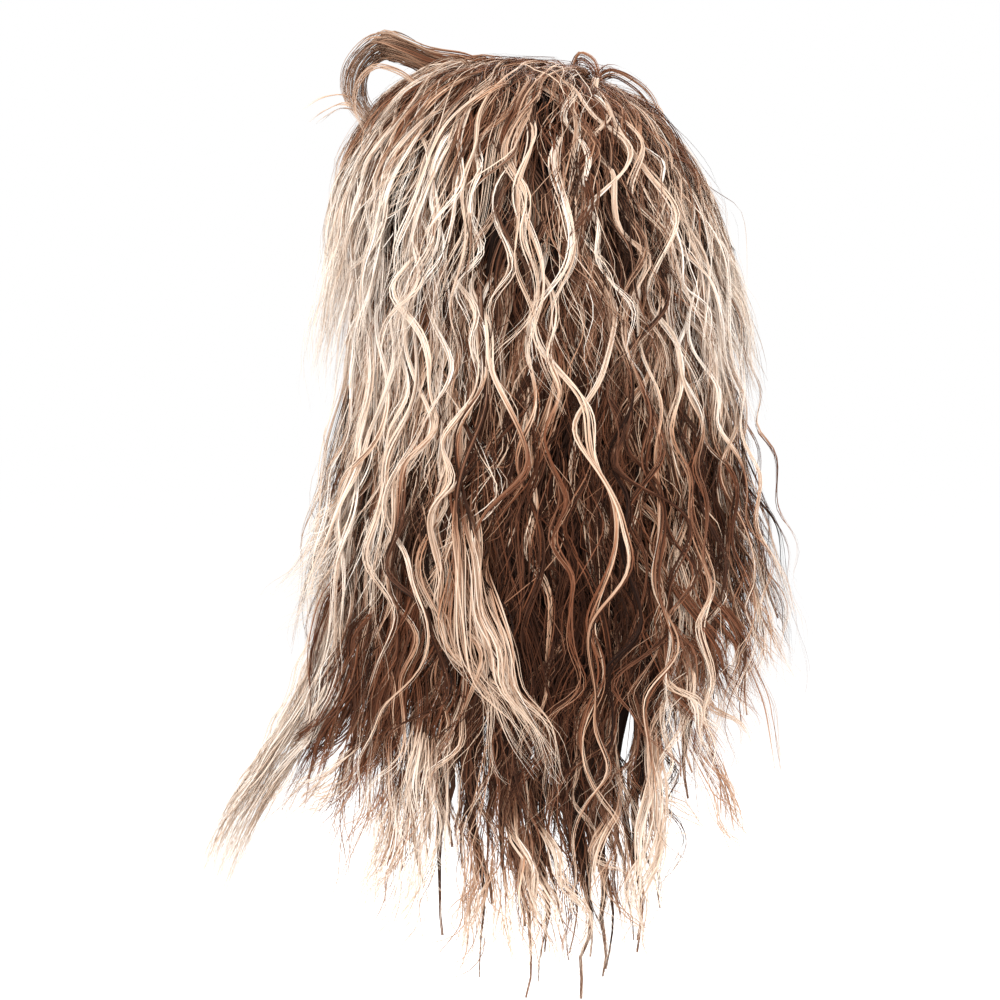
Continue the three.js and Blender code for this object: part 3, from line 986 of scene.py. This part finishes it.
@dataclass(frozen=True)
class Sheaf:
    """Locks that stand out from the rest, laid between two edges seen from behind.

    Each edge is a route of stops, across and up. The depth is a distance in front of the head's
    middle at the root and the tip, or None where the sheaf hangs on the long hair's surface.
    """

    node: str
    style: LockStyle
    locks: int
    tone: float
    warm: float
    left: Route
    right: Route
    depth: tuple[float, float] | None = None
    root: float = 0.42
    rooted: tuple[float, float] = (10.0, 60.0)
    proud: float = 3.0
    cut: float = 0.2

    def grow(self, mesh: FibreMesh, grower: Grower) -> None:
        """Lays the sheaf's locks.

        Args:
            mesh: The mesh that they go in.
            grower: What lays the fibres.
        """
        edges = [self.smoothed(np.array(route, float)) for route in (self.left, self.right)]
        for i in range(self.locks):
            place = (i + grower.rng.uniform(0.1, 0.9)) / self.locks
            seen = edges[0] + (edges[1] - edges[0]) * place
            early, late = grower.rng.random(2)
            cut = self.cut * len(seen)
            seen = seen[int(1.2 * cut * early) : len(seen) - int(cut * late)]
            line = self.deep(seen, grower.rng)
            facing = unit(line * [1, 1, 0.1] + [0, -20, 6])
            dye = DyeAndShade(self.root, tone=self.tone, warm=self.warm, rooted=self.rooted)
            grower.lock(mesh, line, facing, self.style, dye)

    def deep(self, seen: np.ndarray, rng: np.random.Generator) -> np.ndarray:
        """Gives a route its depth.

        Args:
            seen: The route seen from behind, across and up.
            rng: The source of chance.

        Returns:
            The route as points in millimetres.
        """
        if self.depth is None:
            emerging = eased(np.arange(len(seen)), 0, 22)
            out = HEAD.behind(seen[:, 0], seen[:, 1]) + 20 - (20 + self.proud) * emerging
            out = out - rng.uniform(-4, 4)
        else:
            out = np.linspace(*self.depth, len(seen)) + rng.normal(0, 4)
        return np.stack([seen[:, 0], out, seen[:, 1]], -1)

    def smoothed(self, stops: np.ndarray) -> np.ndarray:
        """Bends a smooth curve through a route's stops.

        Args:
            stops: The route's stops.

        Returns:
            60 points along the curve.
        """
        at = np.concatenate([[0], np.cumsum(np.linalg.norm(np.diff(stops, axis=0), axis=1))])
        fine = np.linspace(0, at[-1], 60)
        slopes = np.gradient(stops, at, axis=0)
        low = np.clip(np.searchsorted(at, fine, "right") - 1, 0, len(at) - 2)
        gap = (at[low + 1] - at[low])[:, None]
        share = (fine - at[low])[:, None] / gap
        return (
            (2 * share**3 - 3 * share**2 + 1) * stops[low]
            + (share**3 - 2 * share**2 + share) * gap * slopes[low]
            + (3 * share**2 - 2 * share**3) * stops[low + 1]
            + (share**3 - share**2) * gap * slopes[low + 1]
        )


CROWN, LEFT, MIDDLE, RIGHT = "crown_hair", "back_hair_left", "back_hair_middle", "back_hair_right"

SHEAVES = (
    Sheaf(
        CROWN, CURL, locks=14, tone=0.54, warm=0.35,
        left=((-24, 16), (-46, 22), (-63, 24), (-79, 30), (-97, 34), (-111, 23), (-117, 5), (-98, -24)),
        right=((-30, 4), (-50, 12), (-66, 14), (-80, 20), (-92, 22), (-102, 14), (-104, -1), (-88, -26)),
        depth=(-12, -30), cut=0.0,
    ),
    Sheaf(
        CROWN, CURL, locks=16, tone=0.38, warm=0.5,
        left=((-34, 4), (-60, 8), (-80, 4), (-94, -6), (-101, -22), (-98, -44)),
        right=((-34, -8), (-54, -8), (-70, -12), (-78, -22), (-80, -36), (-74, -52)),
        depth=(-20, -44), root=0.32, cut=0.05,
    ),
    Sheaf(
        CROWN, LOOP, locks=2, tone=0.74, warm=0.6,
        left=((-56, -2), (-68, 2), (-84, 12), (-98, 14), (-108, 4), (-110, -12), (-104, -27)),
        right=((-54, -5), (-68, -2), (-84, 8), (-96, 10), (-104, 2), (-106, -12), (-100, -27)),
        depth=(-46, -56), root=0.6, rooted=(0, 12), cut=0.0,
    ),
    Sheaf(
        CROWN, STRAY, locks=3, tone=0.8, warm=0.2,
        left=((-104, -8), (-116, 0), (-128, -1), (-142, -10)),
        right=((-104, -14), (-116, -10), (-126, -16), (-138, -26)),
        depth=(-30, -34), root=0.7,
    ),
    Sheaf(
        CROWN, TAIL, locks=15, tone=0.82, warm=0.42,
        left=((-18, 22), (-46, 22), (-74, 4), (-96, -24), (-114, -62), (-124, -108), (-128, -156)),
        right=((0, 16), (-24, 17), (-50, 4), (-70, -22), (-86, -56), (-96, -100), (-104, -158)),
        depth=(-12, -84), rooted=(50, 140),
    ),
    Sheaf(
        CROWN, WISP, locks=14, tone=0.9, warm=0.2,
        left=((-96, -20), (-118, -56), (-130, -100), (-138, -150), (-142, -196)),
        right=((-92, -50), (-108, -90), (-120, -130), (-126, -166), (-130, -206)),
        depth=(-24, -50), root=0.7,
    ),
    Sheaf(
        CROWN, LOOP, locks=4, tone=0.42, warm=0.8,
        left=((17, 0), (18, 15), (24, 27), (32, 24), (37, 12), (40, -6), (42, -24)),
        right=((21, -2), (22, 12), (25, 20), (29, 17), (33, 8), (36, -8), (38, -24)),
        depth=(-12, -34), cut=0.0,
    ),
    Sheaf(
        CROWN, LOOP, locks=5, tone=0.5, warm=0.7,
        left=((30, 8), (42, 17), (58, 10), (70, -3), (72, -14), (64, -24), (58, -34)),
        right=((32, 4), (42, 11), (55, 5), (64, -6), (66, -14), (60, -22), (54, -34)),
        depth=(-14, -36), cut=0.0,
    ),
    Sheaf(
        CROWN, LOOP, locks=2, tone=0.4, warm=0.8,
        left=((2, 4), (6, 14), (13, 16), (19, 10), (24, 0)),
        right=((3, 2), (7, 11), (13, 13), (18, 8), (22, -2)),
        depth=(-10, -26), cut=0.0,
    ),
    Sheaf(
        CROWN, STRAY, locks=2, tone=0.62, warm=0.5,
        left=((58, -12), (79, -35), (94, -50), (97, -59), (94, -68), (101, -88), (112, -118), (120, -153)),
        right=((66, -20), (84, -40), (98, -58), (102, -72), (104, -92), (114, -124), (123, -166)),
        depth=(-24, -40),
    ),
    Sheaf(
        LEFT, FLARED, locks=17, tone=0.84, warm=0.22,
        left=((-108, -252), (-122, -297), (-137, -336), (-147, -360), (-167, -392), (-187, -424), (-213, -494)),
        right=((-96, -262), (-108, -306), (-120, -344), (-130, -374), (-151, -408), (-170, -440), (-191, -500)),
        root=0.8, cut=0.08,
    ),
    Sheaf(
        LEFT, BODY, locks=26, tone=0.29, warm=0.95,
        left=((-100, -230), (-112, -296), (-124, -338), (-134, -368), (-148, -402), (-166, -438)),
        right=((-62, -240), (-66, -300), (-70, -340), (-76, -374), (-88, -404), (-108, -440)),
        root=0.36, proud=2,
    ),
    Sheaf(
        LEFT, WISP, locks=8, tone=0.8, warm=0.5,
        left=((-100, -330), (-116, -372), (-140, -406), (-160, -430), (-184, -456)),
        right=((-84, -350), (-98, -386), (-124, -414), (-146, -432), (-168, -454)),
        root=0.6,
    ),
    Sheaf(
        LEFT, WISP, locks=12, tone=0.9, warm=0.2,
        left=((-100, -200), (-116, -238), (-136, -268), (-158, -292), (-178, -312)),
        right=((-96, -240), (-112, -272), (-132, -300), (-150, -318), (-172, -330)),
        root=0.7,
    ),
    Sheaf(
        LEFT, WISP, locks=14, tone=0.86, warm=0.35,
        left=((-88, -370), (-92, -410), (-100, -440), (-112, -470), (-132, -496)),
        right=((-56, -380), (-60, -420), (-66, -460), (-80, -492), (-98, -512)),
        root=0.6,
    ),
    Sheaf(
        LEFT, LOOSE, locks=16, tone=0.6, warm=0.6,
        left=((-98, -350), (-112, -392), (-118, -420), (-122, -448), (-136, -478)),
        right=((-60, -370), (-66, -412), (-74, -448), (-86, -478), (-104, -500)),
        root=0.4, cut=0.35,
    ),
    Sheaf(
        MIDDLE, LOOSE, locks=16, tone=0.62, warm=0.6,
        left=((-54, -400), (-60, -440), (-74, -474), (-88, -500), (-112, -518)),
        right=((50, -420), (56, -452), (62, -480), (70, -500), (74, -520)),
        root=0.4, cut=0.35,
    ),
    Sheaf(
        LEFT, TAIL, locks=4, tone=0.86, warm=0.45,
        left=((-70, -330), (-71, -366), (-73, -398), (-75, -426), (-74, -450)),
        right=((-62, -330), (-64, -366), (-68, -398), (-70, -426), (-73, -452)),
    ),
    Sheaf(
        MIDDLE, TAIL, locks=8, tone=0.71, warm=0.6,
        left=((-60, -190), (-58, -240), (-57, -294), (-47, -329), (-35, -353), (-23, -374), (-6, -392)),
        right=((-38, -190), (-30, -240), (-24, -296), (-15, -323), (-11, -347), (3, -368), (21, -400)),
        root=0.36, rooted=(24, 105), proud=11,
    ),
    Sheaf(
        MIDDLE, TAIL, locks=5, tone=0.82, warm=0.55,
        left=((-20, -392), (-18, -420), (-10, -450), (-4, -480), (2, -506)),
        right=((-8, -392), (-4, -424), (2, -452), (8, -484), (10, -512)),
        root=0.5,
    ),
    Sheaf(
        MIDDLE, WISP, locks=10, tone=0.8, warm=0.5,
        left=((-46, -420), (-44, -452), (-48, -484), (-46, -514)),
        right=((-14, -430), (-8, -470), (-4, -500), (0, -528)),
        root=0.6,
    ),
    Sheaf(
        MIDDLE, WAVY, locks=2, tone=0.82, warm=0.6,
        left=((34, -366), (40, -400), (38, -428), (47, -448), (56, -470)),
        right=((40, -360), (45, -398), (43, -426), (51, -446), (58, -474)),
    ),
    Sheaf(
        RIGHT, TAIL, locks=4, tone=0.84, warm=0.5,
        left=((54, -340), (58, -378), (61, -406), (60, -434), (54, -470), (58, -506)),
        right=((62, -340), (68, -376), (68, -406), (66, -434), (64, -470), (70, -500)),
    ),
    Sheaf(
        RIGHT, WAVY, locks=4, tone=0.84, warm=0.6,
        left=((58, -300), (66, -326), (74, -352), (90, -380), (98, -402)),
        right=((82, -296), (94, -320), (100, -346), (112, -372), (118, -396)),
    ),
    Sheaf(
        RIGHT, TAIL, locks=14, tone=0.38, warm=0.85,
        left=((36, -250), (52, -290), (70, -330), (90, -366), (108, -398)),
        right=((74, -236), (94, -272), (112, -306), (130, -340), (142, -366)),
        root=0.34, proud=1,
    ),
    Sheaf(
        RIGHT, WISP, locks=8, tone=0.7, warm=0.6,
        left=((78, -366), (92, -396), (106, -426), (124, -464)),
        right=((92, -352), (104, -388), (116, -420), (128, -456)),
        root=0.5,
    ),
    Sheaf(
        RIGHT, WISP, locks=5, tone=0.66, warm=0.7,
        left=((112, -276), (124, -312), (138, -338), (156, -356)),
        right=((116, -262), (130, -296), (144, -322), (160, -348)),
        root=0.5,
    ),
    Sheaf(
        RIGHT, STRAY, locks=2, tone=0.7, warm=0.6,
        left=((110, -310), (126, -346), (136, -368), (140, -400), (143, -420)),
        right=((116, -312), (130, -344), (140, -370), (144, -402), (146, -424)),
        root=0.5,
    ),
)


@dataclass
class Hair:
    """All the sewn hair, layer by layer."""

    finish: FibreFinish = FibreFinish()
    short_tips: tuple[Tip, ...] = (
        Tip(-112, 214),
        Tip(-80, 222),
        Tip(-45, 238),
        Tip(0, 262),
        Tip(40, 262),
        Tip(80, 246),
        Tip(112, 224),
    )
    side_tips: tuple[Tip, ...] = (
        Tip(-134, 240),
        Tip(-104, 288),
        Tip(-74, 266),
        Tip(74, 266),
        Tip(104, 288),
        Tip(134, 240),
    )
    fringe_tips: tuple[Tip, ...] = (
        Tip(112, 206),
        Tip(140, 168),
        Tip(180, 138),
        Tip(220, 168),
        Tip(248, 206),
    )
    long_tips: tuple[Tip, ...] = (
        Tip(-69, 412, 6),
        Tip(-61, 430, 10),
        Tip(-52, 446, 12),
        Tip(-43, 486, 12),
        Tip(-35, 498, 8),
        Tip(-28, 520, 4),
        Tip(-20, 566, 3),
        Tip(-11, 552, 2),
        Tip(-3, 588, 2),
        Tip(6, 590, 1),
        Tip(13, 588, 0),
        Tip(23, 575, 2),
        Tip(31, 506, 3),
        Tip(39, 486, 5),
        Tip(48, 462, 8),
        Tip(56, 440, 12),
        Tip(64, 412, 14),
        Tip(71, 390, 18),
    )
    nape_tips: tuple[Tip, ...] = (
        Tip(-54, 444),
        Tip(-42, 456),
        Tip(-30, 500),
        Tip(-20, 516),
        Tip(-10, 550),
        Tip(0, 545),
        Tip(9, 560),
        Tip(24, 550),
        Tip(34, 500),
        Tip(44, 470),
        Tip(54, 470),
    )

    def short_layers(self) -> list[HairLayer]:
        """Lists the crown's, fringe's and sides' layers."""
        short = Slot.SHORT_HAIR
        made = [
            HairLayer(
                "crown_hair_under", CROWN, short, (-114, 114), (-26, 118), self.short_tips, (0.5, 0.9),
                ((UNDERLAY, 230), (BODY, 108)), bunches=30, aside=15, sweep=10,
            ),
            HairLayer(
                "crown_hair_over", CROWN, short, (-112, 112), (-44, 80), self.short_tips, (0.82, 1.0),
                ((BODY, 78), (WAVY, 88), (BOLD, 58), (FINE, 66), (FUZZ, 110)), bunches=26, aside=18,
                sweep=18, ragged=0.3,
            ),
            HairLayer(
                "fringe_hair_locks", "fringe_hair", short, (112, 248), (4, 92), self.fringe_tips,
                (0.34, 0.64), ((UNDERLAY, 66), (BODY, 50), (WAVY, 20), (FINE, 16)), bunches=14, aside=8,
                under=0.1,
            ),
        ]
        for name, low, high in (("left", -134, -74), ("right", 74, 134)):
            made.append(
                HairLayer(
                    f"side_hair_{name}_locks", f"side_hair_{name}", short, (low, high), (98, 132),
                    self.side_tips, (0.12, 0.54), ((UNDERLAY, 34), (BODY, 30), (WAVY, 12), (FINE, 12)),
                    bunches=8, root_tone=0.36, shade=0.12, under=0.1,
                )
            )
        return made

    def long_layers(self) -> list[HairLayer]:
        """Lists the long layers' thirds."""
        long = Slot.LONG_HAIR
        made = []
        for name, low, high in (("left", -72, -24), ("middle", -24, 24), ("right", 24, 72)):
            made.append(
                HairLayer(
                    f"back_hair_{name}_locks", f"back_hair_{name}", long, (low, high), (108, 150),
                    self.long_tips, (0.36, 0.7),
                    ((UNDERLAY, 38), (BODY, 42), (WAVY, 42), (BOLD, 13), (FINE, 24), (FUZZ, 56)),
                    root_tone=0.3, ragged=0.3, bold=(0.3, 0.8),
                )
            )
        for name, low, high in (("left", -58, -27), ("middle", -27, 27), ("right", 27, 58)):
            wide = (high - low) / 54
            made.append(
                HairLayer(
                    f"nape_hair_{name}_locks", f"nape_hair_{name}", long, (low, high), (132, 158),
                    self.nape_tips, (0.06, 0.34),
                    ((UNDERLAY, round(34 * wide)), (INNER, round(60 * wide)), (FINE, round(8 * wide))),
                    root_tone=0.34, shade=0.06, under=0.08, ragged=0.2,
                )
            )
        return made

    def build(self) -> None:
        """Makes all the pieces of hair."""
        material = self.finish.material()
        grower = Grower(np.random.default_rng(SEED))
        for layer in (*self.short_layers(), *self.long_layers()):
            layer.build(grower, material)
        for node in (CROWN, LEFT, MIDDLE, RIGHT):
            mesh = FibreMesh()
            for sheaf in SHEAVES:
                if sheaf.node == node:
                    sheaf.grow(mesh, grower)
            slot = Slot.SHORT_HAIR if node == CROWN else Slot.LONG_HAIR
            settle(mesh.piece(f"{node}_tails", material), slot, node)
            log.info("%s_tails: %d triangles", node, mesh.triangles())


@dataclass
class Cap:
    """The stretch cap, its sewn rows and its elastic edge."""

    wall: float = 1.6
    band_height: float = 13.0
    band_wall: float = 1.4
    gap: float = 0.35
    row_spacing: float = 12.0
    row_width: float = 3.4
    row_wall: float = 0.7
    ribs: int = 300

    def sheet(
        self,
        name: str,
        latitudes: tuple[float, float],
        lift: float,
        wall: float,
        columns: int,
        rows: int,
        rib: float = 0.0,
    ) -> bpy.types.Object:
        """Models a sheet that follows the cap all the way round.

        Args:
            name: The object's name.
            latitudes: Top and bottom, as shares of the way from the crown to the cap's edge.
            lift: How far out its outer face lies.
            wall: Its thickness, inwards.
            columns: Faces round the head.
            rows: Faces down the sheet.
            rib: How far every second column stands out.

        Returns:
            The object.
        """
        shape = bmesh.new()
        bmesh.ops.create_grid(shape, x_segments=columns, y_segments=rows, size=1)
        for vertex in shape.verts:
            azimuth = 180 * vertex.co.x
            share = latitudes[0] + (latitudes[1] - latitudes[0]) * (1 - vertex.co.y) / 2
            latitude = share * float(HEAD.edge_latitude(np.array(azimuth)))
            column = round((vertex.co.x + 1) / 2 * columns)
            out = lift + (rib if column % 2 else 0.0)
            vertex.co = Vector(HEAD.on_dome(azimuth, latitude, out) * MM)
        bmesh.ops.remove_doubles(shape, verts=shape.verts, dist=0.01 * MM)
        bmesh.ops.recalc_face_normals(shape, faces=shape.faces)
        shape.faces.ensure_lookup_table()
        if shape.faces[0].normal.dot(shape.faces[0].calc_center_median() + Vector((0, 0, 0.09))) < 0:
            bmesh.ops.reverse_faces(shape, faces=shape.faces)
        bmesh.ops.solidify(shape, geom=shape.faces[:], thickness=wall * MM)
        mesh = bpy.data.meshes.new(name)
        shape.to_mesh(mesh)
        shape.free()
        mesh.shade_smooth()
        made = bpy.data.objects.new(name, mesh)
        bpy.context.scene.collection.objects.link(made)
        return made

    def build(self) -> None:
        """Makes and dresses the cap, the sewn rows and the band."""
        net = self.sheet("cap_net", (0, 1), 0, self.wall, 128, 36)
        net.data.materials.append(NetFinish().material())
        settle(net, Slot.CAP_NET, "cap")
        tape = TapeFinish("polyester tape, woven", "3b2b22", "54402f").material()
        mean_run = 150.0
        for i in range(1, int(0.86 * mean_run / self.row_spacing)):
            top = i * self.row_spacing / mean_run
            row = self.sheet(
                f"sewn_row_{i}", (top, top + self.row_width / mean_run), -self.wall, self.row_wall, 128, 2,
            )
            row.data.materials.append(tape)
            settle(row, Slot.CAP_NET, "cap")
        band_top = 1 - self.band_height / mean_run
        lift = -self.wall - self.gap - 0.25
        band = self.sheet("edge_elastic", (band_top, 1), lift, self.band_wall, self.ribs, 6, 0.25)
        elastic = TapeFinish("polyester elastic, woven", "1d1917", "35302c", 0.6)
        band.data.materials.append(elastic.material())
        settle(band, Slot.ELASTIC, "edge_band")
        log.info("cap: net, sewn rows and elastic edge")


@dataclass
class Studio:
    """The floor, the light and the camera."""

    floor_level: float = -660.0
    aim: tuple[float, float, float] = (-23.5, -60.0, -241.0)
    distance: float = 1700.0
    elevation: float = 2.0
    frame_height: float = 588.0

    def build(self) -> None:
        """Sets up the stage."""
        self.floor()
        self.lights()
        self.camera()

    def floor(self) -> None:
        """Lays a plain pale floor."""
        shape = bmesh.new()
        bmesh.ops.create_circle(shape, cap_ends=True, segments=96, radius=20)
        for vertex in shape.verts:
            vertex.co.z = self.floor_level * MM
        mesh = bpy.data.meshes.new("floor")
        shape.to_mesh(mesh)
        shape.free()
        paint, _, shader = new_finish("matt white studio paint", 1.0)
        shader.inputs["Base Color"].default_value = linear("ffffff")
        shader.inputs["Specular IOR Level"].default_value = 0.0
        mesh.materials.append(paint)
        made = bpy.data.objects.new("floor", mesh)
        bpy.context.scene.collection.objects.link(made)

    def lights(self) -> None:
        """Hangs soft lights, and lights the room evenly."""
        world = bpy.data.worlds.new("pale room")
        world.use_nodes = True
        room = world.node_tree.nodes["Background"]
        room.inputs["Color"].default_value = linear("ffffff")
        room.inputs["Strength"].default_value = 1.0
        bpy.context.scene.world = world
        for name, place, size, power in (
            ("key", (-900, -1500, 900), 900, 26), ("fill", (1300, -900, 300), 1100, 10),
            ("rim", (200, 1300, 900), 900, 16),
        ):
            light = bpy.data.lights.new(name, "AREA")
            light.size, light.energy = size * MM, power
            made = bpy.data.objects.new(name, light)
            made.location = Vector(place) * MM
            toward = Vector(self.aim) * MM - made.location
            made.rotation_euler = toward.to_track_quat("-Z", "Y").to_euler()
            bpy.context.scene.collection.objects.link(made)
        bpy.context.scene.view_settings.view_transform = "Standard"

    def camera(self) -> None:
        """Stands the camera behind the wig, at the photograph's angle."""
        lens = bpy.data.cameras.new("camera")
        lens.sensor_width = 36.0
        lens.lens = lens.sensor_width * self.distance / self.frame_height
        lens.clip_end = 100.0
        made = bpy.data.objects.new("camera", lens)
        tilt = math.radians(self.elevation)
        back = Vector((0, -math.cos(tilt), math.sin(tilt))) * self.distance
        made.location = (Vector(self.aim) + back) * MM
        made.rotation_euler = (-back).to_track_quat("-Z", "Y").to_euler()
        bpy.context.scene.collection.objects.link(made)
        bpy.context.scene.camera = made


def main() -> None:
    """Builds the wig and its stage in order."""
    logging.basicConfig(level=logging.INFO, format="%(message)s")
    Cap().build()
    Hair().build()
    Studio().build()


if __name__ == "__main__":
    main()
